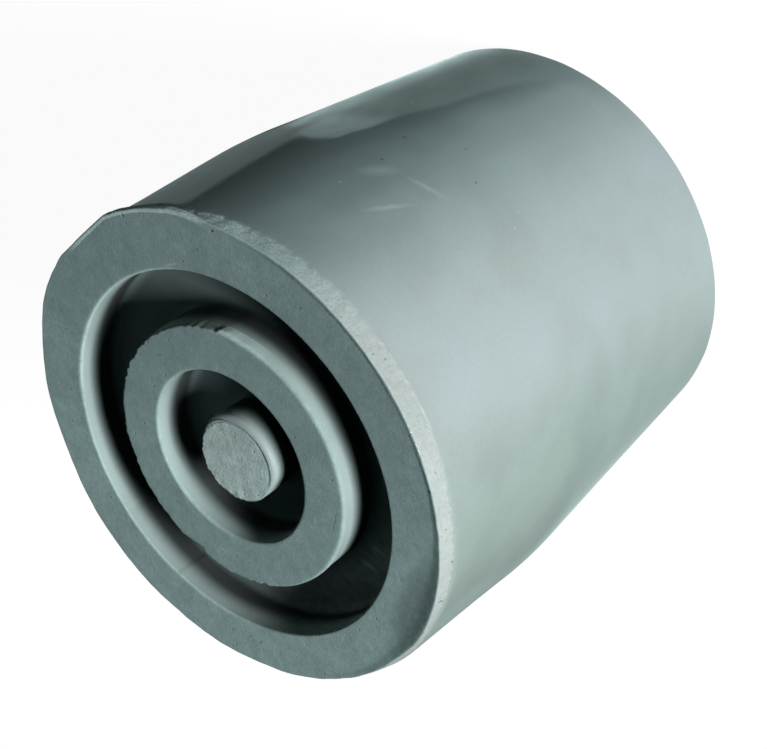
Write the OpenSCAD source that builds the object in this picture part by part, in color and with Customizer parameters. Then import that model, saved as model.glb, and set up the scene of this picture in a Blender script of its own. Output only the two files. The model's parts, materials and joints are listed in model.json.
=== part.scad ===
// Rubber tip for a walking cane or crutch.
// One moulded piece: a blind socket grips the shaft, and the grooved tread meets the ground.
// It stands on the rim of its mouth with the tread up. The origin is the centre of the mouth.

/* [Body] */
// Height from the mouth's rim to the tread
tip_h = 38.4; // [34:0.1:48]
// Diameter where the walls of base and cone would meet, before the shoulder is blended
base_d = 38; // [34:0.1:48]
// Height of the base, from the tread to the shoulder
base_h = 15.2; // [10:0.1:20]
// How much the radius of the base shrinks from the shoulder to the trimmed band
base_taper = 0.09; // [0:0.01:1]
// Outer diameter at the mouth
mouth_d = 33; // [29:0.1:38]
// Radius that blends the base into the cone
shoulder_r = 40; // [5:1:60]
// Radius on the outer edge of the mouth
mouth_edge_r = 0.5; // [0.2:0.1:1.5]

/* [Trimmed edge] */
// Height of the rough band where the moulding flash was trimmed
trim_h = 1.5; // [0.5:0.1:3]
// How far the trimmed band lies inside the moulded wall
trim_step = 0.06; // [0.05:0.01:0.2]
// Radius on the corner between the trimmed band and the tread
tread_edge_r = 0.2; // [0.1:0.05:0.6]

/* [Socket] */
// Diameter of the shaft that the tip fits
shaft_d = 22; // [18:0.1:25]
// How much smaller than the shaft the socket is, for grip
grip = 0.4; // [0:0.1:1]
// Depth of the socket from the mouth's rim
socket_depth = 28; // [20:0.5:30]
// Height of the chamfer that leads the shaft in
lead_in = 0.8; // [0.3:0.1:2]
// Fillet round the socket's floor
socket_floor_r = 1; // [0.3:0.1:3]

/* [Tread] */
// Outer diameter of the outer groove
outer_groove_d = 29.2; // [27:0.1:32]
// Outer diameter of the middle ring
ring_d = 20.9; // [17:0.1:24]
// Inner diameter of the middle ring, which is the wall of the inner groove
ring_hole_d = 13.8; // [12:0.1:16]
// Diameter of the centre boss
boss_d = 6.4; // [4:0.1:8]
// How far the boss sits off the middle, against X
boss_shift_x = 0.5; // [0:0.05:0.8]
// How far the boss sits off the middle, against Y
boss_shift_y = 0.1; // [0:0.05:0.8]
// How far the face of the boss lies below the tread
boss_drop = 0.2; // [0:0.05:1]
// Depth of both grooves
groove_depth = 4; // [2:0.1:5]
// Fillet at the foot of each groove's walls
groove_floor_r = 0.5; // [0.2:0.1:1]
// Radius on the edges of the grooves and of the middle ring
groove_edge_r = 0.2; // [0.1:0.05:0.4]
// Radius on the edge of the boss
boss_edge_r = 0.4; // [0.1:0.05:1]

/* [Hidden] */
$fn = 180;
rubber_grey = [0.42, 0.48, 0.48];

base_r = base_d / 2;
moulded_edge_r = base_r - base_taper;
tread_r = moulded_edge_r - trim_step;
mouth_r = mouth_d / 2;
socket_r = (shaft_d - grip) / 2;
shoulder_z = tip_h - base_h;
trim_z = tip_h - trim_h;
groove_z = tip_h - groove_depth;
boss_z = tip_h - boss_drop;
outer_groove_r = outer_groove_d / 2;
ring_r = ring_d / 2;
ring_hole_r = ring_hole_d / 2;
boss_r = boss_d / 2;

// How far a cut runs on past the surface that it opens
past = 1;
// How far a rounding cut runs on past its corner, as a share of the radius
past_corner = 0.3;

function along(from, to) = (to - from) / norm(to - from);

// The sliver between a corner and the arc of radius r that rounds it off. The corner lies between
// the points before and after. Subtracted it rounds an outer corner, added it fills an inner one.
module corner_sliver(before, corner, after, r) {
    to_before = along(corner, before);
    to_after = along(corner, after);
    half_angle = acos(to_before * to_after) / 2;
    reach = r / tan(half_angle);
    middle = along([0, 0], to_before + to_after);
    difference() {
        polygon([
            corner + reach * to_before,
            corner - past_corner * r * middle,
            corner + reach * to_after
        ]);
        translate(corner + r / sin(half_angle) * middle) circle(r);
    }
}

// Half section of the outside, with the axis along the left edge
module outside_section() {
    axis_foot = [0, 0];
    mouth_edge = [mouth_r, 0];
    shoulder = [base_r, shoulder_z];
    moulded_edge = [moulded_edge_r, trim_z];
    trim_foot = [tread_r, trim_z];
    tread_edge = [tread_r, tip_h];
    axis_top = [0, tip_h];
    difference() {
        polygon([axis_foot, mouth_edge, shoulder, moulded_edge, trim_foot, tread_edge, axis_top]);
        corner_sliver(axis_foot, mouth_edge, shoulder, mouth_edge_r);
        corner_sliver(mouth_edge, shoulder, moulded_edge, shoulder_r);
        corner_sliver(trim_foot, tread_edge, axis_top, tread_edge_r);
    }
}

// Half section of the socket, widened by the chamfer at its mouth
module socket_section() {
    floor_edge = [socket_r, socket_depth];
    wall_foot = [socket_r, lead_in];
    difference() {
        polygon([
            [0, -past],
            [socket_r + lead_in + past, -past],
            wall_foot,
            floor_edge,
            [0, socket_depth]
        ]);
        corner_sliver(wall_foot, floor_edge, [0, socket_depth], socket_floor_r);
    }
}

// Half section of a groove between two radii, with filleted feet and rounded upper edges.
// With an inner radius of 0 it is a round pocket.
module groove_section(inner_r, outer_r) {
    inner_foot = [inner_r, groove_z];
    outer_foot = [outer_r, groove_z];
    inner_edge = [inner_r, tip_h];
    outer_edge = [outer_r, tip_h];
    difference() {
        translate(inner_foot) square([outer_r - inner_r, groove_depth + past]);
        corner_sliver(inner_foot, outer_foot, outer_edge, groove_floor_r);
        if (inner_r > 0) corner_sliver(inner_edge, inner_foot, outer_foot, groove_floor_r);
    }
    corner_sliver(outer_foot, outer_edge, outer_edge + [past, 0], groove_edge_r);
    if (inner_r > 0) corner_sliver(inner_foot, inner_edge, inner_edge - [past, 0], groove_edge_r);
}

// Half section of the centre boss, with its foot sunk in the groove's floor
module boss_section() {
    foot = [boss_r, groove_z];
    edge = [boss_r, boss_z];
    difference() {
        translate([0, groove_z - past]) square([boss_r, boss_z - groove_z + past]);
        corner_sliver(foot, edge, [0, boss_z], boss_edge_r);
    }
    corner_sliver(edge, foot, foot + [past, 0], groove_floor_r);
}

module cane_tip() {
    color(rubber_grey) {
        difference() {
            rotate_extrude() outside_section();
            rotate_extrude() socket_section();
            rotate_extrude() groove_section(ring_r, outer_groove_r);
            rotate_extrude() groove_section(0, ring_hole_r);
        }
        translate([-boss_shift_x, -boss_shift_y, 0]) rotate_extrude() boss_section();
    }
}

cane_tip();
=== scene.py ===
"""Rubber cane tip: its moulded skin as one mesh, a soft studio and the camera.

The part stands on the rim of its mouth with the tread up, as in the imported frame. Lengths are in
millimetres until a mesh, a lamp or the camera is made. Angles are in degrees round the axis, from -Y
towards -X, so that 0 faces the camera. The left is the side at -90 and the right the side at 90.
"""
import json
import math

import bpy
import numpy as np
from mathutils import Matrix, Vector


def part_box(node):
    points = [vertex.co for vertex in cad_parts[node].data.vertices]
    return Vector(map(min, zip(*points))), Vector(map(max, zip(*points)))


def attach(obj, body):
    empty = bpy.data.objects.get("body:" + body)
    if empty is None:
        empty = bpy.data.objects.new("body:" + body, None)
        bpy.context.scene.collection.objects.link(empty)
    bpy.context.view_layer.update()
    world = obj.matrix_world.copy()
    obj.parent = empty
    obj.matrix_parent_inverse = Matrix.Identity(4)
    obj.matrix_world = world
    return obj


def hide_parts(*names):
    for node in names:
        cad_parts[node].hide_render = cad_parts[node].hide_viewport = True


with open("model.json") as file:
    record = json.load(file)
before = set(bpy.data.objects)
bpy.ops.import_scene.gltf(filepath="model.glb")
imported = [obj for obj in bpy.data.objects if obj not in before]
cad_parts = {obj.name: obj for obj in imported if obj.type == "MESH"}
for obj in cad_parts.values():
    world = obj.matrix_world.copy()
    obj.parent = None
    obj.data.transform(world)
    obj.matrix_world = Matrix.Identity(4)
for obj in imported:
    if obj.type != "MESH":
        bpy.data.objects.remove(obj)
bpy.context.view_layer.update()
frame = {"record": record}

MM = 0.001

# ---------------------------------------------------------------- sizes, from the frame and the mould
LOWEST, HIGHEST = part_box("cane_tip")
TIP_H = (HIGHEST.z - LOWEST.z) / MM
BOX_R = (HIGHEST.x - LOWEST.x) / 2 / MM
SOCKET = next(m for m in frame["record"]["mounts"] if m["name"] == "socket")
SOCKET_R = SOCKET["dims"]["r_mm"]

SOCKET_DEPTH = 28.0
SOCKET_FLOOR_ROUND = 1.0
LEAD_IN = 0.8
MOUTH_R = 16.5
MOUTH_ROUND = 0.5
SHOULDER_R = 19.0
SHOULDER_Z = TIP_H - 15.2
SHOULDER_ROUND = 40.0
MOULDED_EDGE_R = 18.91
BAND_H = 1.5
BAND_R = 18.85
GROOVE_Z = TIP_H - 4.0
GROOVE_FOOT_ROUND = 0.5
GROOVE_EDGE_ROUND = 0.2
OUTER_GROOVE_R = 14.6
RING_R = 10.45
RING_HOLE_R = 6.9
BOSS_R = 3.2
BOSS_Z = TIP_H - 0.2
BOSS_ROUND = 0.4
BOSS_SHIFT = (-0.5, -0.1)
# The tread's face lies a little below the highest burr, and its outer ring dips towards the groove
FACE_Z = TIP_H - 0.03
DISH = 0.1

# How far out the tread's edge was cut, all round: the knife went deep on one side and left flash on
# another
CUT_EDGE_R = (
    (-180, 18.1), (-156, 17.95), (-132, 18.42), (-108, 19.05), (-76, 19.4), (-58, 19.3), (-45, 18.9),
    (30, 18.87), (60, 18.97), (72, 18.9), (84, 18.55), (108, 18.22), (132, 17.98), (156, 18.0),
)

# How far the flash stands out of the middle ring's edge
RING_FLASH = ((-50, 0), (-43, 0.3), (-34, 0.16), (-18, 0.05), (0, 0))

# How far the cut edge, and then every point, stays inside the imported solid's box
EDGE_CLEAR = 0.02
BOX_CLEAR = 0.004

TURN_STEPS = 600
# How far a straight's rows are drawn towards its ends, as a share of it
CROWDING = 0.13
SEED = 11


# ---------------------------------------------------------------- curves round the axis
def apart(turn, centre):
    """Signed angle from centre to turn, wrapped to the shorter way round."""
    return (turn - centre + 180) % 360 - 180


def bell(turn, centre, width):
    """A smooth hump of height 1 at centre: e to the power of minus the squared angle over width."""
    return np.exp(-((apart(turn, centre) / width) ** 2))


def ease(x):
    """Smooth step: 3x^2 - 2x^3 with x held between 0 and 1."""
    x = np.clip(x, 0, 1)
    return x * x * (3 - 2 * x)


def stretch(turn, start, end, soft=3.0):
    """1 from start to end round the axis and 0 elsewhere, eased over soft degrees outside both."""
    half = ((end - start) % 360) / 2
    return ease((half + soft - np.abs(apart(turn, start + half))) / soft)


def all_round(turn, stops):
    """A closed curve through (angle, value) stops, eased from each stop to the next."""
    at = np.array([a for a, _ in stops] + [stops[0][0] + 360.0])
    value = np.array([v for _, v in stops] + [stops[0][1]])
    turn = (turn - at[0]) % 360 + at[0]
    left = np.clip(np.searchsorted(at, turn, side="right") - 1, 0, len(stops) - 1)
    share = (turn - at[left]) / (at[left + 1] - at[left])
    return value[left] + (value[left + 1] - value[left]) * ease(share)


def ragged(turn, seed, slowest, fastest, fade=0.5):
    """A closed random line of about unit size: whole numbers of waves round the axis, from slowest to
    fastest, with random phases and with a height of waves^-fade."""
    rng = np.random.default_rng(SEED + seed)
    waves = np.arange(slowest, fastest + 1)
    height = waves ** -fade
    phase = rng.uniform(0, 2 * np.pi, len(waves))
    line = height @ np.cos(np.outer(waves, np.radians(turn)) + phase[:, None])
    return line / np.sqrt((height ** 2).sum() / 2)


def swell(points, seed, wavelength, waves=30):
    """A smooth random relief of about unit size at points: plane sine waves in random directions, with
    random phases and lengths near wavelength, summed."""
    rng = np.random.default_rng(SEED + seed)
    way = rng.normal(size=(waves, 3))
    way /= np.linalg.norm(way, axis=1, keepdims=True)
    stretch_by = rng.uniform(0.7, 1.5, waves)
    phase = rng.uniform(0, 2 * np.pi, waves)
    total = np.zeros(points.shape[:-1])
    for direction, longer, start in zip(way, stretch_by, phase):
        total += np.sin(points @ direction * (2 * np.pi / (wavelength * longer)) + start)
    return total / math.sqrt(waves / 2)


# ---------------------------------------------------------------- the section, as a function of the turn
def corner_list(turn):
    """The section's corners from the boss round to the socket's floor, each at every angle of turn.

    A corner is (name, radius, height, rounding, steps along the straight to it, steps round it)."""
    same = np.ones_like(turn)

    # The boss: its face was cut off level, and a rolled rim is left round one side of it
    rim = stretch(turn, -72, 35, 40)
    boss_left = stretch(turn, 125, -95, 20)
    cut_r = BOSS_R - 0.14 + 0.02 * ragged(turn, 1, 3, 14) + 0.045 * boss_left * ragged(turn, 8, 12, 50)
    rim_r = BOSS_R + 0.03 + 0.45 * rim
    rim_round = 0.10 + 0.34 * rim

    # The middle ring: torn on its left, with teeth and a nib of flash where the tear ends
    ring_left = stretch(turn, 125, -85, 20)
    teeth = stretch(turn, -70, -46, 5)
    torn = bell(turn, 157, 4.5)
    nib = all_round(turn, RING_FLASH)
    ring_r = RING_R - 0.12 * np.sin(np.radians(-turn)) + nib
    ring_r = ring_r + ring_left * (0.045 * ragged(turn, 2, 8, 110, 0.3) - 0.05)
    ring_r = ring_r + teeth * 0.028 * ragged(turn, 3, 30, 90, 0.3) - 0.3 * torn
    ring_round = 0.14 + 0.25 * torn + 0.1 * stretch(turn, -40, 95, 10)

    # The outer groove's wall: two seams of the mould, and a lip round the upper left of its edge
    between_seams = stretch(turn, 161, -175, 0.6)
    wall_r = OUTER_GROOVE_R + 0.07 * between_seams
    groove_edge_r = OUTER_GROOVE_R + 0.03 * between_seams
    groove_lip = stretch(turn, -130, -62, 12)

    # The tread's outer edge as the knife left it, with a lip of flash on one side
    edge_r = all_round(turn, CUT_EDGE_R) + 0.012 * ragged(turn, 4, 12, 90)
    edge_r = np.minimum(edge_r, (BOX_R - EDGE_CLEAR) / np.maximum(np.abs(np.sin(np.radians(turn))), 0.5))
    lip = stretch(turn, -86, -53, 7)
    curl = bell(turn, 66, 20)
    curl_w = 0.42 + 0.68 * curl - 0.06 * lip
    curl_h = 0.07 * stretch(turn, -30, 95, 15) - 0.03 * bell(turn, 12, 9) + 0.11 * curl + 0.03 * lip
    border_z = TIP_H - BAND_H - 0.1 + 0.05 * ragged(turn, 5, 5, 24) + 0.03 * ragged(turn, 6, 40, 170, 0.1)
    border_z = border_z + 0.45 * bell(turn, 72, 9) + 0.3 * lip + 0.3 * bell(turn, -45, 12)
    band_r = BAND_R - 0.02 + 0.012 * ragged(turn, 7, 20, 120, 0.2)
    side_r = edge_r + 0.15 * (band_r - edge_r) * (1 - lip)
    side_z = TIP_H - 0.3 - 0.3 * lip
    under_r = side_r + (0.2 + 0.7 * lip) * (band_r - side_r)

    return [
        ("boss_middle", 0 * same, BOSS_Z * same, 0, 0, 0),
        ("boss_cut", cut_r, BOSS_Z * same, 0.05 * same, 7, 3),
        ("boss_line", cut_r + 0.04 + 0.08 * rim, BOSS_Z - 0.012 - 0.02 * rim, 0.08 * same, 1, 2),
        ("boss_crest", cut_r + 0.08 + 0.18 * rim, BOSS_Z - 0.035 + 0.02 * rim, 0.12 * same, 1, 2),
        ("boss_rim", rim_r, BOSS_Z - 0.07 + 0.02 * rim, rim_round, 2, 7),
        ("boss_wall", BOSS_R + 0.02 + 0.42 * rim, (BOSS_Z - 1.2) * same, 0.2 * same, 2, 1),
        ("boss_foot", BOSS_R + 0.3 * rim, GROOVE_Z * same, GROOVE_FOOT_ROUND * same, 4, 3),
        ("hole_foot", RING_HOLE_R * same, GROOVE_Z * same, GROOVE_FOOT_ROUND * same, 3, 3),
        ("hole_edge", RING_HOLE_R * same, FACE_Z * same, GROOVE_EDGE_ROUND * same, 4, 4),
        ("ring_edge", ring_r, FACE_Z * same, ring_round, 6, 5),
        ("ring_wall", RING_R + 0.15 * nib, (FACE_Z - 1.0) * same, 0.1 * same, 2, 1),
        ("ring_foot", RING_R * same, GROOVE_Z * same, GROOVE_FOOT_ROUND * same, 5, 4),
        ("wall_foot", wall_r, GROOVE_Z * same, GROOVE_FOOT_ROUND * same, 6, 4),
        ("groove_edge", groove_edge_r, (FACE_Z - DISH) * same, 0.16 + 0.16 * groove_lip, 7, 5),
        ("curl", edge_r - curl_w, FACE_Z - curl_h, 0.4 + 4 * curl, 7, 4),
        ("cut_edge", edge_r, (TIP_H - EDGE_CLEAR) * same, 0.1 + 0.02 * lip, 3, 4),
        ("lip_foot", side_r, side_z, 0.06 * same, 2, 2),
        ("undercut", under_r, side_z - 0.12, 0.06 * same, 1, 2),
        ("border", band_r, border_z, 0.06 * same, 6, 2),
        ("moulded_edge", MOULDED_EDGE_R + 0.01 * same, border_z - 0.2, 0.1 * same, 2, 3),
        ("shoulder", SHOULDER_R * same, SHOULDER_Z * same, SHOULDER_ROUND * same, 5, 6),
        ("mouth_edge", MOUTH_R * same, 0 * same, MOUTH_ROUND * same, 4, 4),
        ("lead_in", (SOCKET_R + LEAD_IN) * same, 0 * same, 0.12 * same, 2, 1),
        ("socket_edge", SOCKET_R * same, LEAD_IN * same, 0.12 * same, 2, 1),
        ("socket_foot", SOCKET_R * same, SOCKET_DEPTH * same, SOCKET_FLOOR_ROUND * same, 3, 3),
        ("socket_middle", 0 * same, SOCKET_DEPTH * same, 0, 3, 0),
    ]


def unit(vector):
    """The vector over its length. A vector of no length stays as it is."""
    return vector / np.maximum(np.linalg.norm(vector, axis=0), 1e-9)


def section_rows(corners):
    """Rows of points along the section, each row one ring round the axis, between the two poles.

    Straights are stepped more closely towards their ends. A corner is an arc of its rounding, whose
    points turn evenly about its centre from one straight to the next. Each row also says where it is:
    i - 0.5 on the straight to corner i, and from i - 0.25 to i + 0.25 round it."""
    at = [np.array(corner[1:3]) for corner in corners]
    rows, where = [], []
    leave = at[0]
    for i in range(1, len(corners)):
        rounding, run_steps, arc_steps = corners[i][3:]
        last = i == len(corners) - 1
        if last:
            meet = at[i]
        else:
            back = unit(at[i - 1] - at[i])
            on = unit(at[i + 1] - at[i])
            half = np.arccos(np.clip((back * on).sum(axis=0), -1, 1)) / 2
            reach = rounding / np.tan(half)
            meet = at[i] + reach * back
        for step in range(1, run_steps):
            share = step / run_steps
            share -= CROWDING * math.sin(2 * math.pi * share)
            rows.append(leave + (meet - leave) * share)
            where.append(i - 0.5)
        if last:
            break
        centre = at[i] + rounding / np.sin(half) * unit(back + on)
        first = meet - centre
        final = at[i] + reach * on - centre
        sweep = np.maximum(np.pi - 2 * half, 1e-4)
        for step in range(arc_steps + 1):
            share = step / arc_steps
            turned = np.sin((1 - share) * sweep) * first + np.sin(share * sweep) * final
            rows.append(centre + turned / np.sin(sweep))
            where.append(i + 0.5 * share - 0.25)
        leave = at[i] + reach * on
    rows = np.array(rows)
    return rows[:, 0], rows[:, 1], np.array(where)[:, None]


def outward(points):
    """Unit normals of the grid: the turn's difference crossed with the section's difference."""
    round_the_axis = np.roll(points, -1, axis=1) - np.roll(points, 1, axis=1)
    along = np.gradient(points, axis=0)
    normal = np.cross(round_the_axis, along)
    return normal / np.maximum(np.linalg.norm(normal, axis=2, keepdims=True), 1e-12)


def soft_relief(points, where, at):
    """Height of the soft unevenness: long waves on the moulded skin, less of them on the tread's face,
    short ones where the rubber was cut, and none in the socket."""
    on_face = (where > at["hole_edge"]) & (where < at["ring_edge"])
    on_face |= (where > at["groove_edge"]) & (where < at["cut_edge"])
    on_band = (where > at["lip_foot"] + 0.3) & (where < at["border"] + 0.3)
    on_cut_boss = where < at["boss_cut"] + 0.3
    in_socket = where > at["mouth_edge"] + 0.3
    relief = 0.016 * swell(points, 20, 9) + 0.006 * swell(points, 21, 3.2)
    relief = np.where(on_face, 0.25 * relief + 0.003 * swell(points, 22, 1.4), relief)
    relief = np.where(on_band, relief + 0.006 * swell(points, 23, 0.7), relief)
    relief = np.where(on_cut_boss, 0.008 * swell(points, 24, 0.9), relief)
    return np.where(in_socket, 0, relief)


def skin_marks(turn, height, where, at, border_z):
    """What each point is: how far it lies above the cut band's border and how deep in a groove, and
    whether it is on the outer wall, a cut face, the boss's line (painted shade), the left of the band
    (painted light) or flash."""
    below_edge = (where > at["cut_edge"]) & (where < at["mouth_edge"] + 0.3)
    in_groove = (where > at["boss_rim"] + 0.1) & (where < at["groove_edge"])
    in_groove &= ~((where > at["hole_edge"]) & (where < at["ring_edge"]))
    lip_rows = (where > at["cut_edge"] - 0.6) & (where < at["lip_foot"] + 0.3)
    ring_rows = (where > at["ring_edge"] - 0.3) & (where < at["ring_wall"] + 0.1)
    groove_rows = np.abs(where - at["groove_edge"]) < 0.15
    flash = 0.75 * lip_rows * stretch(turn, -90, -52, 6)
    flash = flash + 0.6 * ring_rows * ease(all_round(turn, RING_FLASH) / 0.25)
    flash = flash + 0.35 * groove_rows * stretch(turn, -130, -62, 12)
    same = np.ones_like(height)
    return {
        "above_border": np.where(below_edge, height - border_z, -9.0),
        "cut_boss": (where < at["boss_cut"] + 0.3) * same,
        # Painted shade in the crease between the boss's cut face and its rim
        "boss_line": (np.abs(where - at["boss_line"]) < 0.3) * stretch(turn, -20, 60, 25),
        "sunk": np.where(in_groove, TIP_H - height, 0.0),
        "flash": flash,
        # Painted light: the band's left, away from the lamp, is painted paler
        "band_light_left": below_edge * stretch(turn, -60, -44, 12),
        "outside": below_edge * same,
    }


def skin():
    """The whole surface as a grid, section rows by turn, with its two poles and what each point is.

    A point at radius r, height z and turn t lies at (-r sin t, -r cos t, z). The boss slides off the
    middle by its shift, which fades out over the floor of the inner groove."""
    turn = np.linspace(-180, 180, TURN_STEPS, endpoint=False)
    corners = corner_list(turn)
    at = {corner[0]: i for i, corner in enumerate(corners)}
    radius, height, where = section_rows(corners)
    sine, cosine = np.sin(np.radians(turn)), np.cos(np.radians(turn))
    off_boss = ease((radius - BOSS_R - 0.8) / (RING_HOLE_R - BOSS_R - 1.4))
    slide = (1 - off_boss) * (where < at["hole_foot"] + 1)
    points = np.stack([
        -radius * sine + BOSS_SHIFT[0] * slide,
        -radius * cosine + BOSS_SHIFT[1] * slide,
        height,
    ], axis=2)

    points = points + soft_relief(points, where, at)[:, :, None] * outward(points)
    points[:, :, 2] = np.clip(points[:, :, 2], 0, TIP_H - BOX_CLEAR)
    limit = BOX_R - BOX_CLEAR
    points[:, :, :2] = np.clip(points[:, :, :2], -limit, limit)

    marks = skin_marks(turn, height, where, at, corners[at["border"]][2])
    boss_centre = np.array([BOSS_SHIFT[0], BOSS_SHIFT[1], points[0, :, 2].mean()])
    floor_centre = np.array([0, 0, SOCKET_DEPTH])
    return points, boss_centre, floor_centre, marks


def build_tip():
    """The mesh: quads between neighbouring rows, and a fan of triangles round each pole."""
    points, first_pole, last_pole, marks = skin()
    rows, steps, _ = points.shape
    vertices = np.concatenate([[first_pole], points.reshape(-1, 3), [last_pole]]) * MM
    index = 1 + np.arange(rows * steps).reshape(rows, steps)
    following = np.roll(index, -1, axis=1)
    quads = np.stack([index[:-1], following[:-1], following[1:], index[1:]], axis=2).reshape(-1, 4)
    first = np.stack([np.zeros(steps, int), following[0], index[0]], axis=1)
    last = np.stack([np.full(steps, rows * steps + 1), index[-1], following[-1]], axis=1)
    mesh = bpy.data.meshes.new("cane_tip_skin")
    mesh.from_pydata(vertices.tolist(), [], quads.tolist() + first.tolist() + last.tolist())
    mesh.shade_smooth()
    for name, values in marks.items():
        attribute = mesh.attributes.new(name, "FLOAT", "POINT")
        at_poles = values[0, 0], values[-1, 0]
        whole = np.concatenate([[at_poles[0]], values.ravel(), [at_poles[1]]])
        attribute.data.foreach_set("value", whole.astype(np.float32))
    tip = bpy.data.objects.new("cane_tip_skin", mesh)
    bpy.context.scene.collection.objects.link(tip)
    weighted = tip.modifiers.new("flat_faces_stay_flat", "WEIGHTED_NORMAL")
    weighted.mode = "FACE_AREA"
    weighted.weight = 50
    return tip


# ---------------------------------------------------------------- finishes
def srgb(red, green, blue):
    """A colour written as sRGB, 0 to 255, as linear light."""
    shares = [c / 255 for c in (red, green, blue)]
    return tuple(((c + 0.055) / 1.055) ** 2.4 if c > 0.04 else c / 12.92 for c in shares)


MOULDED = srgb(152, 163, 163)
# Painted shade: the moulded skin is painted darker and cooler on its left, the side away from the lamp
MOULDED_SHADED_LEFT = srgb(126, 146, 147)
# Painted shade: the moulded skin is painted darker and greener on its far right, where the light falls
# off
MOULDED_SHADED_RIGHT = srgb(138, 154, 149)
MOULDED_CLOUD = srgb(150, 162, 164)
TREAD_FACE = srgb(139, 164, 163)
CUT_BAND = srgb(163, 173, 171)
# Painted shade: the cut band is painted cooler on its left, the side away from the lamp
CUT_BAND_SHADED_LEFT = srgb(150, 174, 173)
CUT_BOSS = srgb(181, 203, 201)
GROOVE_EDGE = srgb(150, 169, 167)
# Painted shade in the grooves: the walls are painted darker with depth, and the floors a mid grey
GROOVE_WALL_SHADE = srgb(50, 56, 57)
GROOVE_FLOOR_SHADE = srgb(98, 113, 113)
# Painted light: a paler patch on the groove's floor at the right, which lies in the lamp's shadow
PAINTED_FLOOR_LIGHT = srgb(152, 155, 155)
FLASH = srgb(201, 227, 226)

# How strongly the marks lighten or darken what they lie on, from 0 to 1
LIGHT_MARK = 0.3
SCUFF = 0.22
# Painted light on the band's left, the side away from the lamp
PAINTED_BAND_LIGHT = 0.7
PIT_DARK = 0.3
HOLE_DARK = 0.3
SPECK_DARK = 0.25
MARK_DARK = 0.55
RIM_PATCH_DARK = 0.4
UNDER_LIP_DARK = 0.95
# Painted shade in the crease round the boss's cut face
BOSS_CREASE_SHADE = 0.05

# The skin's shine: a thin coat on the moulded wall, which ends just short of the cut band
COAT = 0.75
COAT_ROUGH = 0.07
SHINE = 0.25
MATT_ROUGH = 0.28

# Depths in millimetres: how far a mark's outline and the band's border waver, and the fine relief
WAVER = 0.25
BORDER_WAVER = 0.55
GRAIN_RISE = 0.008
BAND_RISE = 0.022
CUT_RISE = 0.03
PIT_DEPTH = 0.04
COAT_RISE = 0.002


def spot(turn, reach, height):
    """The point in millimetres at an angle round the axis, a radius and a height."""
    t = math.radians(turn)
    return Vector((-reach * math.sin(t), -reach * math.cos(t), height))


def on_tread(turn, reach):
    return spot(turn, reach, TIP_H)


def on_floor(turn, reach):
    """A point on the floor of the grooves."""
    return spot(turn, reach, GROOVE_Z)


def fleck(place, half_width):
    """A round mark: it starts and ends in one place."""
    return place, place, half_width


# Marks of use and of the mould: where each starts, where it ends, and its half width, all in
# millimetres with the turn in degrees. First the pale scratches and flecks, on the tread, on the
# groove's floor and on the moulded wall.
LIGHT_MARKS = (
    (on_tread(57, 15.1), on_tread(62.5, 16.2), 0.07),
    (on_tread(69.6, 14.9), on_tread(73.6, 15.6), 0.06),
    (on_tread(74, 14.9), on_tread(77.5, 15.7), 0.06),
    (on_tread(79, 14.8), on_tread(81, 15.7), 0.06),
    (on_tread(92, 14.9), on_tread(99, 15.9), 0.06),
    (on_tread(-65, 14.8), on_tread(-58, 15.25), 0.09),
    (on_tread(58, 8.0), on_tread(63, 8.3), 0.10),
    fleck(on_tread(-119, 16.5), 0.09),
    (on_tread(120, 10.4), on_tread(120, 10.5), 0.09),
    (on_floor(87, 11.4), on_floor(84, 12.9), 0.35),
    (on_floor(77, 11.2), on_floor(75, 12.6), 0.22),
    fleck(spot(-49, 18.2, 14.8), 0.16),
    fleck(spot(-35.2, 18.2, 10.9), 0.14),
    fleck(spot(-35.9, 18.9, 28.3), 0.15),
    fleck(spot(-7.6, 18.6, 18.8), 0.12),
    fleck(spot(-5, 18.7, 20.2), 0.12),
)
# Pale rubbed patches on the moulded wall
SCUFFS = (
    (spot(-35.6, 18.9, 26.3), spot(-31, 18.9, 24.2), 0.95),
    (spot(-34.4, 18.9, 25.6), spot(-31.5, 18.9, 24.3), 0.5),
    (spot(-30, 18.9, 24.4), spot(-18, 18.9, 23.4), 0.4),
    (spot(-27.2, 18.9, 29.9), spot(-21, 18.9, 25.8), 0.38),
)
# Bits missing from the tread's edge and face
NICKS = (
    (on_tread(31, 18.4), on_tread(31, 18.75), 0.15),
    (on_tread(-45.3, 18.5), on_tread(-44.6, 18.6), 0.11),
    (on_tread(-71.5, 18.9), on_tread(-71.5, 19.1), 0.16),
    fleck(on_tread(-18.4, 16.8), 0.12),
    (spot(60.4, 18.85, 37.8), spot(61.5, 18.85, 37.1), 0.12),
)
# Dark scratches and specks
DARK_MARKS = (
    fleck(on_tread(-88, 8.8), 0.11),
    (on_tread(44, 10.1), on_tread(66, 9.85), 0.05),
    (on_floor(71.3, 11.1), on_floor(71.6, 12.4), 0.09),
    (on_floor(81, 11.0), on_floor(79, 12.5), 0.09),
    (on_floor(101.6, 11.5), on_floor(99.9, 13.3), 0.10),
    (spot(40.9, 18.9, 37.6), spot(41.2, 18.9, 37.5), 0.08),
    (spot(44, 18.9, 37.57), spot(44, 18.9, 37.5), 0.09),
    (spot(50.6, 18.9, 36.9), spot(51, 18.9, 36.8), 0.10),
    fleck(spot(-38.1, 18.7, 20.2), 0.17),
    fleck(spot(-35.3, 18.9, 23.9), 0.15),
    fleck(spot(-18.3, 18.7, 19.9), 0.14),
    fleck(spot(-26.9, 18.4, 17.5), 0.13),
    (spot(2, 18.9, 37.2), spot(2.4, 18.9, 37.2), 0.09),
)
# The painted shade under the lip of flash, and a darker patch on the tread's face near its edge on the
# right
UNDER_LIP = (spot(-92, 18.7, 36.9), spot(-58, 18.7, 37.5), 1.15)
RIM_PATCH = (on_tread(48, 18.5), on_tread(82, 18.3), 2.1)


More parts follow.
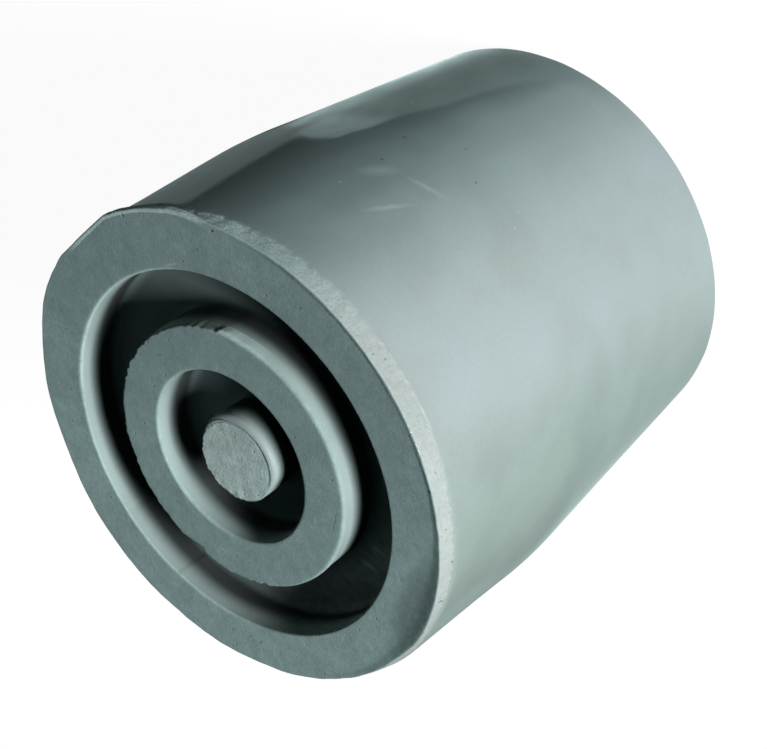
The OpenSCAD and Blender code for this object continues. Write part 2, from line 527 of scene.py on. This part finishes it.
class Recipe:
    """Shader nodes by name. An input may be a number, a colour or another node's output."""

    def __init__(self, material):
        material.use_nodes = True
        self.nodes = material.node_tree.nodes
        self.links = material.node_tree.links
        self.shader = self.nodes["Principled BSDF"]
        where = self.nodes.new("ShaderNodeTexCoord")
        scale = self.nodes.new("ShaderNodeMapping")
        scale.inputs["Scale"].default_value = (1 / MM, 1 / MM, 1 / MM)
        self.links.new(where.outputs["Object"], scale.inputs["Vector"])
        self.place = scale.outputs["Vector"]
        split = self.nodes.new("ShaderNodeSeparateXYZ")
        self.links.new(self.place, split.inputs[0])
        self.x, self.y, self.z = split.outputs

    def put(self, socket, value):
        """Links another node's output to the socket, or sets the socket to a number or a colour."""
        if isinstance(value, bpy.types.NodeSocket):
            self.links.new(value, socket)
        elif isinstance(value, tuple) and len(value) == 3 and len(socket.default_value) == 4:
            socket.default_value = (*value, 1)
        else:
            socket.default_value = value

    def math(self, operation, first, second=0.0, third=0.0, clamp=False):
        """What one operation makes of up to three numbers."""
        node = self.nodes.new("ShaderNodeMath")
        node.operation = operation
        node.use_clamp = clamp
        for socket, value in zip(node.inputs, (first, second, third)):
            self.put(socket, value)
        return node.outputs[0]

    def vector(self, operation, *values):
        """What one operation makes of places or directions: another one, or a length."""
        node = self.nodes.new("ShaderNodeVectorMath")
        node.operation = operation
        for socket, value in zip(node.inputs, values):
            self.put(socket, value)
        return node.outputs["Value" if operation in ("LENGTH", "DOT_PRODUCT") else "Vector"]

    def times(self, first, *others):
        """The product of the values."""
        for other in others:
            first = self.math("MULTIPLY", first, other)
        return first

    def most(self, first, *others):
        """The greatest of the values."""
        for other in others:
            first = self.math("MAXIMUM", first, other)
        return first

    def plus(self, amount, factor, value):
        """amount x factor + value"""
        return self.math("MULTIPLY_ADD", amount, factor, value)

    def between(self, share, low, high):
        """low where the share is 0, high where it is 1, and in proportion between."""
        return self.plus(share, self.math("SUBTRACT", high, low), low)

    def ramp(self, value, low, high, to_low=0.0, to_high=1.0):
        """Eases from to_low to to_high as the value goes from low to high."""
        node = self.nodes.new("ShaderNodeMapRange")
        node.interpolation_type = "SMOOTHSTEP"
        node.inputs["From Min"].default_value = low
        node.inputs["From Max"].default_value = high
        node.inputs["To Min"].default_value = to_low
        node.inputs["To Max"].default_value = to_high
        self.put(node.inputs["Value"], value)
        return node.outputs[0]

    def blend(self, share, first, second):
        """The first colour where the share is 0 and the second where it is 1."""
        node = self.nodes.new("ShaderNodeMix")
        node.data_type = "RGBA"
        self.put(node.inputs["Factor"], share)
        self.put(node.inputs["A"], first)
        self.put(node.inputs["B"], second)
        return node.outputs["Result"]

    def noise(self, size, detail=2.0, rough=0.5, output="Fac"):
        """Soft random clouds about size millimetres across, from 0 to 1."""
        node = self.nodes.new("ShaderNodeTexNoise")
        node.inputs["Scale"].default_value = 1 / size
        node.inputs["Detail"].default_value = detail
        node.inputs["Roughness"].default_value = rough
        self.put(node.inputs["Vector"], self.place)
        return node.outputs[output]

    def dots(self, spacing, size, share, seed=0.0):
        """Round dots, one to a random cell of that spacing, kept in only a share of the cells. It is 1 in
        a dot and 0 outside."""
        cells = self.nodes.new("ShaderNodeTexVoronoi")
        cells.inputs["Scale"].default_value = 1 / spacing
        self.put(cells.inputs["Vector"], self.vector("ADD", self.place, (seed, 2 * seed, 3 * seed)))
        parts = self.nodes.new("ShaderNodeSeparateColor")
        self.put(parts.inputs[0], cells.outputs["Color"])
        near = self.ramp(cells.outputs["Distance"], 0.4 * size / spacing, size / spacing, 1.0, 0.0)
        return self.times(near, self.math("LESS_THAN", parts.outputs[0], share))

    def mark(self, name):
        """What the mesh says of itself at each point."""
        node = self.nodes.new("ShaderNodeAttribute")
        node.attribute_name = name
        return node.outputs["Fac"]

    def towards(self, turn):
        """How many millimetres out a point lies in one direction round the axis."""
        return self.vector("DOT_PRODUCT", self.place, tuple(spot(turn, 1, 0)))

    def off(self, amount, mask):
        """An amount about 0.5, taken about 0 and shown only where the mask is."""
        return self.times(self.math("SUBTRACT", amount, 0.5), mask)

    def streak(self, start, end, half_width, place, deep=0.6, core=0.3):
        """1 along the line from start to end and 0 beyond its half width. It lies in the tread's face or
        a groove's floor where it starts at one of their heights, and on the outer wall elsewhere. It
        reaches deep millimetres to both sides of that surface."""
        along = end - start
        half_length = along.length / 2 + half_width
        on_top = start.z >= TIP_H - 0.01 or abs(start.z - GROOVE_Z) < 0.01
        out = Vector((0, 0, 1)) if on_top else Vector((start.x, start.y, 0)).normalized()
        if along.length < 1e-6:
            along = out.orthogonal()
        first = (along - along.dot(out) * out).normalized()
        turned = Matrix((first, out.cross(first), out)).transposed().to_euler()
        node = self.nodes.new("ShaderNodeMapping")
        node.vector_type = "TEXTURE"
        node.inputs["Location"].default_value = (start + end) / 2
        node.inputs["Rotation"].default_value = turned
        node.inputs["Scale"].default_value = (half_length, half_width, deep)
        self.put(node.inputs["Vector"], place)
        return self.ramp(self.vector("LENGTH", node.outputs[0]), core, 1.0, 1.0, 0.0)

    def streaks(self, marks, place, core=0.3):
        """The greatest of the streaks at each point."""
        return self.most(0.0, *[self.streak(*mark, place, core=core) for mark in marks])

    def bump(self, height, depth):
        """Relief of the given depth in millimetres where the height goes from 0 to 1."""
        node = self.nodes.new("ShaderNodeBump")
        node.inputs["Strength"].default_value = 1.0
        node.inputs["Distance"].default_value = depth * MM
        self.put(node.inputs["Height"], height)
        return node.outputs[0]


class Rubber(Recipe):
    """Grey moulded rubber: satin on the mould's skin, matt and lighter where it was cut, with shade
    painted into the grooves and on its sides away from the lamp, light painted on the band's left and on
    the groove floor's right, and with pits, scratches and scuffs.

    First come the random patterns, then where each finish and each mark lies, as shares from 0 to 1."""

    def __init__(self, material):
        super().__init__(material)
        self.grain = self.noise(0.16, 3.0, 0.6)
        self.nibble = self.noise(0.3, 2.0, 0.6)
        self.mottle = self.noise(0.9, 3.0, 0.6)
        self.cloud = self.noise(5.0, 3.0)
        self.pits = self.dots(0.9, 0.10, 0.4)
        self.holes = self.dots(0.55, 0.09, 0.35, 5.0)
        self.specks = self.dots(3.0, 0.10, 0.35, 9.0)

        depth = self.mark("sunk")
        self.outside = self.mark("outside")
        above_border = self.mark("above_border")
        right_wall = self.ramp(self.towards(75), 5, 10.4)
        wavering = self.plus(self.math("SUBTRACT", self.nibble, 0.5), BORDER_WAVER, above_border)
        self.band = self.ramp(wavering, -0.08, 0.08)
        top = self.ramp(self.z, FACE_Z - DISH - 0.2, FACE_Z - DISH - 0.08)
        self.face = self.times(top, self.math("SUBTRACT", 1.0, self.outside))
        self.boss = self.mark("cut_boss")
        self.flash = self.mark("flash")
        self.groove = self.ramp(depth, 0.02, 0.3)
        # Painted shade in the grooves: the walls darken with depth, less so on the right towards 75
        # degrees, where the ring's wall is lit deeper, and the floors are painted a mid grey
        self.painted_groove_shade = self.ramp(self.plus(right_wall, -0.6, depth), 0.5, 2.2)
        self.groove_floor = self.ramp(depth, 2.9, 3.8)
        # Painted shade on the left, the side away from the lamp: the skin and the band are painted darker
        # and cooler there
        self.shaded_left = self.ramp(self.towards(-70), 6, 17)
        # Painted shade on the far right: the skin is painted darker and greener there
        self.shaded_right = self.ramp(self.towards(60), 14, 18.9)

        shift = self.vector(
            "MULTIPLY_ADD", self.noise(0.4, output="Color"), (WAVER,) * 3, (-WAVER / 2,) * 3)
        place = self.vector("ADD", self.place, shift)
        self.light_marks = self.streaks(LIGHT_MARKS, place)
        self.scuffs = self.streaks(SCUFFS, place, core=0.0)
        self.nicks = self.streaks(NICKS, place)
        self.dark_marks = self.most(self.streaks(DARK_MARKS, place), self.nicks)
        self.under_lip = self.streak(*UNDER_LIP, place, deep=3.0)
        # A darker patch on the tread's face near its edge on the right
        self.rim_patch = self.streak(*RIM_PATCH, place, deep=1.0)

        self.cut = self.most(self.band, self.boss, self.flash)
        self.matt = self.most(self.cut, self.face, self.under_lip, self.painted_groove_shade)
        self.satin = self.times(
            self.math("SUBTRACT", 1.0, self.matt),
            self.outside,
            self.ramp(above_border, -0.7, -0.3, 1.0, 0.0))

    def colour(self):
        """The finishes, with the painted light and shade, laid over each other, from the moulded wall to
        the scuffs.
        """
        # Painted light: the groove's floor is painted paler, with mottling, at the right towards 97
        # degrees
        floor_light_patch = self.times(
            self.groove_floor,
            self.ramp(self.towards(97), 9, 12.5),
            self.ramp(self.mottle, 0.3, 0.7, 0.5, 1.0))
        colour = self.blend(self.ramp(self.cloud, 0.4, 0.65), MOULDED, MOULDED_CLOUD)
        for share, over in (
            (self.shaded_left, MOULDED_SHADED_LEFT),
            (self.shaded_right, MOULDED_SHADED_RIGHT),
            (self.face, TREAD_FACE),
            (self.groove, GROOVE_EDGE),
            (self.painted_groove_shade, GROOVE_WALL_SHADE),
            (self.groove_floor, GROOVE_FLOOR_SHADE),
            (floor_light_patch, PAINTED_FLOOR_LIGHT),
            (self.boss, CUT_BOSS),
            (self.band, self.blend(self.shaded_left, CUT_BAND, CUT_BAND_SHADED_LEFT)),
            # Painted light: the band is painted paler on its left, away from the lamp
            (self.times(self.mark("band_light_left"), self.band, PAINTED_BAND_LIGHT), FLASH),
            (self.flash, FLASH),
            (self.times(self.light_marks, LIGHT_MARK), FLASH),
            (self.times(self.scuffs, SCUFF), FLASH),
        ):
            colour = self.blend(share, colour, over)
        return colour

    def tone(self):
        """What the colour is multiplied by: soft unevenness, less all that darkens it."""
        # The tread's face is lighter towards 140 degrees and darker the other way
        face_gradient = self.times(self.ramp(self.towards(140), -18, 18, -0.12, 0.16), self.face)
        tone = self.times(
            self.ramp(self.cloud, 0.3, 0.7, 0.95, 1.05),
            self.ramp(self.grain, 0.25, 0.75, 0.96, 1.04),
            self.plus(self.off(self.mottle, self.face), 0.45, 1.0),
            self.plus(self.off(self.nibble, self.face), 0.4, 1.0),
            self.math("ADD", 1.0, face_gradient),
            self.plus(self.off(self.nibble, self.band), 0.35, 1.0),
            self.plus(self.off(self.mottle, self.boss), 0.35, 1.0))
        dark = 0.0
        for mark, strength in (
            (self.times(self.pits, self.face), PIT_DARK),
            (self.times(self.holes, self.band), HOLE_DARK),
            (self.specks, SPECK_DARK),
            (self.dark_marks, MARK_DARK),
            (self.times(self.rim_patch, self.face), RIM_PATCH_DARK),
            (self.times(self.under_lip, self.outside), UNDER_LIP_DARK),
            # Painted shade in the crease round the boss's cut face
            (self.mark("boss_line"), BOSS_CREASE_SHADE),
        ):
            dark = self.plus(mark, strength, dark)
        return self.times(tone, self.math("SUBTRACT", 1.0, dark, clamp=True))

    def relief(self):
        """The fine relief's height in millimetres."""
        rough_cut = self.most(self.cut, self.times(self.face, 0.5))
        hollow = self.math("ADD", self.times(self.pits, self.face), self.times(self.holes, self.band))
        rise = self.times(self.grain, GRAIN_RISE)
        rise = self.plus(self.off(self.nibble, self.band), BAND_RISE, rise)
        rise = self.plus(self.off(self.grain, rough_cut), CUT_RISE, rise)
        return self.plus(self.most(hollow, self.nicks), -PIT_DEPTH, rise)


def rubber():
    """The part's one material: its colour times its tone, its shine and its fine relief."""
    material = bpy.data.materials.new("grey_rubber")
    r = Rubber(material)
    shaded = r.nodes.new("ShaderNodeVectorMath")
    shaded.operation = "SCALE"
    r.put(shaded.inputs[0], r.colour())
    r.put(shaded.inputs["Scale"], r.tone())
    skin_rough = r.ramp(r.cloud, 0.3, 0.7, 0.46, 0.54)
    r.put(r.shader.inputs["Base Color"], shaded.outputs[0])
    r.put(r.shader.inputs["Roughness"], r.plus(r.matt, MATT_ROUGH, skin_rough))
    r.put(r.shader.inputs["Coat Weight"], r.times(r.satin, COAT))
    r.put(r.shader.inputs["Coat Roughness"], COAT_ROUGH)
    r.put(r.shader.inputs["Specular IOR Level"], SHINE)
    r.put(r.shader.inputs["Normal"], r.bump(r.relief(), 1.0))
    r.put(r.shader.inputs["Coat Normal"], r.bump(r.grain, COAT_RISE))
    return material


# ---------------------------------------------------------------- studio
FLOOR_SIZE = 3.0
FLOOR_GREY = (0.15, 0.15, 0.15)
FLOOR_GLOW = 0.95
CARD_HALF = 260 * MM
CARD_LIFT = 0.1 * MM
CARD_TINT = (0.74, 0.98, 0.97)
AIR_TINT = (0.6, 1, 0.97)
AIR_LEVEL = 0.026

CAMERA_ELEVATION = 40.38
CAMERA_ROLL = -125.13
CAMERA_LENS = 121.1
# From the middle of the tread, in millimetres: to the camera's right, up, and backwards
CAMERA_OFFSET = (11.01, 5.94, 183.7)


def floor_material():
    """Pale floor: the camera and reflections see it nearly white with the shadow on it, and it lights
    the object as a plain pale floor does."""
    material = bpy.data.materials.new("pale_floor")
    r = Recipe(material)
    path = r.nodes.new("ShaderNodeLightPath")
    seen = r.most(*[path.outputs["Is %s Ray" % kind] for kind in ("Camera", "Glossy", "Transmission")])
    diffuse = r.nodes.new("ShaderNodeBsdfDiffuse")
    r.put(diffuse.inputs["Color"], FLOOR_GREY)
    glow = r.nodes.new("ShaderNodeEmission")
    glow.inputs["Strength"].default_value = FLOOR_GLOW
    both = r.nodes.new("ShaderNodeAddShader")
    r.put(both.inputs[0], diffuse.outputs[0])
    r.put(both.inputs[1], glow.outputs[0])
    mix = r.nodes.new("ShaderNodeMixShader")
    r.put(mix.inputs[0], seen)
    r.put(mix.inputs[1], diffuse.outputs[0])
    r.put(mix.inputs[2], both.outputs[0])
    r.put(r.nodes["Material Output"].inputs["Surface"], mix.outputs[0])
    r.nodes.remove(r.shader)
    return material


def build_floor():
    half = FLOOR_SIZE / 2
    corners = [(-half, -half, 0), (half, -half, 0), (half, half, 0), (-half, half, 0)]
    mesh = bpy.data.meshes.new("floor")
    mesh.from_pydata(corners, [], [(0, 1, 2, 3)])
    mesh.materials.append(floor_material())
    floor = bpy.data.objects.new("floor", mesh)
    bpy.context.scene.collection.objects.link(floor)


# Places on the card are in millimetres: x to the left, y to the back, and away from the axis
def past_line(r, slope, start, end):
    """0 in front of the line y = slope x + start and 1 behind the line y = slope x + end."""
    return r.ramp(r.plus(r.x, -slope, r.y), start, end)


def ring_share(r, away, inner, outer):
    """1 inside the inner radius and 0 outside the outer one."""
    return r.ramp(away, inner, outer, 1, 0)


def card_left(r, away):
    """Under the left side: a pale zone past a line that runs back to the left, and dark nearer than it.

    Close to the part the zone is brightest past a second, steeper line, and fades to the back. Further
    out it is a low grey, and where the two meet it has one bright tip. In front it turns pale again."""
    slope = r.math("DIVIDE", r.y, r.math("MAXIMUM", r.x, 1.0))
    bend = r.ramp(r.x, 22, 28, 1.6, 0)
    crossed = r.ramp(r.math("ADD", r.plus(r.x, -0.31, r.y), bend), -17, -15.8)
    zone = r.times(crossed, r.most(past_line(r, 0.5, -17, -13.3), ring_share(r, away, 36.5, 39)))

    close_by = r.times(r.ramp(away, 16.5, 21.5, 1.35, 0.68), r.ramp(r.y, 10.5, 17.5, 1, 0.08))
    close_by = r.between(past_line(r, 0.91, -23, -17), 0.45, close_by)
    close_by = r.times(close_by, ring_share(r, away, 31, 34))
    pale = r.plus(r.ramp(away, 31, 34, 0, 0.28), r.ramp(slope, 0.2, 0.9, 1.3, 0.8), close_by)
    tip = r.times(r.ramp(away, 27.5, 30), ring_share(r, away, 36, 39), r.ramp(r.y, 3, 8.5, 1, 0))
    pale = r.times(r.between(tip, pale, 0.8), r.ramp(r.noise(3.0, 3.0), 0.3, 0.7, 0.9, 1.1))

    to_front = r.plus(slope, -1.0, r.ramp(away, 16, 26, -0.65, 0))
    front = r.times(r.ramp(r.x, 2, 44, 0.9, 0.03), r.ramp(to_front, 0.5, 1.0))
    return r.between(zone, front, pale)


def card_right(r, away):
    """Under the right side: pale in front, dark to the side, and pale again past a line to the back."""
    aside = r.ramp(r.math("DIVIDE", r.times(r.x, -1.0), away), 0.5, 0.93)
    front = r.math("ADD", r.plus(aside, -0.93, 0.93), r.times(aside, r.ramp(away, 22, 42, 0.4, 0.08)))
    return r.between(past_line(r, -0.83, -25, 5), front, r.ramp(away, 22, 42, 0.98, 0.36))


def card_material():
    """A painted reflection: the glowing pattern that the part mirrors as its table, dark except for its
    glow.
    """
    material = bpy.data.materials.new("painted_reflection_card")
    r = Recipe(material)
    away = r.vector("LENGTH", r.place)
    r.put(r.shader.inputs["Base Color"], (0.0, 0.0, 0.0))
    r.put(r.shader.inputs["Roughness"], 1.0)
    r.put(r.shader.inputs["Emission Color"], CARD_TINT)
    glow = r.between(r.ramp(r.x, 1, 3), card_right(r, away), card_left(r, away))
    r.put(r.shader.inputs["Emission Strength"], glow)
    return material


def build_card():
    """A card flat on the floor round the part, that only reflections see."""
    far, lift = CARD_HALF, CARD_LIFT
    corners = [(-far, -far, lift), (far, -far, lift), (far, far, lift), (-far, far, lift)]
    mesh = bpy.data.meshes.new("card")
    mesh.from_pydata(corners, [], [(0, 1, 2, 3)])
    mesh.materials.append(card_material())
    card = bpy.data.objects.new("card", mesh)
    bpy.context.scene.collection.objects.link(card)
    card.visible_camera = False
    card.visible_diffuse = False
    card.visible_shadow = False


def towards(turn, rise):
    """Unit direction at an angle round the axis and a rise above the floor, both in degrees."""
    t, e = math.radians(turn), math.radians(rise)
    return Vector((-math.cos(e) * math.sin(t), -math.cos(e) * math.cos(t), math.sin(e)))


def build_lamp(name, turn, rise, distance, width, height, watts):
    """A rectangular lamp, in metres and watts, that faces the tread's middle from that direction."""
    light = bpy.data.lights.new(name, "AREA")
    light.shape = "RECTANGLE"
    light.size = width
    light.size_y = height
    light.energy = watts
    target = Vector((0, 0, 0.7 * TIP_H * MM))
    way = towards(turn, rise)
    lamp = bpy.data.objects.new(name, light)
    lamp.location = target + distance * way
    lamp.rotation_euler = (-way).to_track_quat("-Z", "Y").to_euler()
    lamp.visible_camera = False
    bpy.context.scene.collection.objects.link(lamp)


def build_air():
    """The faint light that comes from all round."""
    world = bpy.data.worlds.new("studio_air")
    world.use_nodes = True
    background = world.node_tree.nodes["Background"]
    background.inputs["Color"].default_value = (*AIR_TINT, 1)
    background.inputs["Strength"].default_value = AIR_LEVEL
    bpy.context.scene.world = world


def build_camera():
    """The camera looks down at the tread, rolled so that the axis runs from lower left to upper right."""
    elevation, roll = math.radians(CAMERA_ELEVATION), math.radians(CAMERA_ROLL)
    level = Vector((1, 0, 0))
    rise = Vector((0, math.sin(elevation), math.cos(elevation)))
    back = Vector((0, -math.cos(elevation), math.sin(elevation)))
    right = math.cos(roll) * level + math.sin(roll) * rise
    up = -math.sin(roll) * level + math.cos(roll) * rise
    to_right, to_top, backwards = CAMERA_OFFSET
    place = Vector((0, 0, TIP_H)) + to_right * right + to_top * up + backwards * back
    camera_data = bpy.data.cameras.new("camera")
    camera_data.lens = CAMERA_LENS
    camera_data.clip_start = 0.01
    camera = bpy.data.objects.new("camera", camera_data)
    turned = Matrix((right, up, back)).transposed().to_4x4()
    camera.matrix_world = Matrix.Translation(place * MM) @ turned
    bpy.context.scene.collection.objects.link(camera)
    bpy.context.scene.camera = camera


build_camera()
tip = build_tip()
tip.data.materials.append(rubber())
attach(tip, "root")
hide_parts("cane_tip")

build_floor()
build_card()
build_lamp("key", turn=34, rise=19, distance=0.6, width=0.2, height=0.14, watts=5.5)
build_air()
bpy.context.scene.view_settings.view_transform = "Standard"
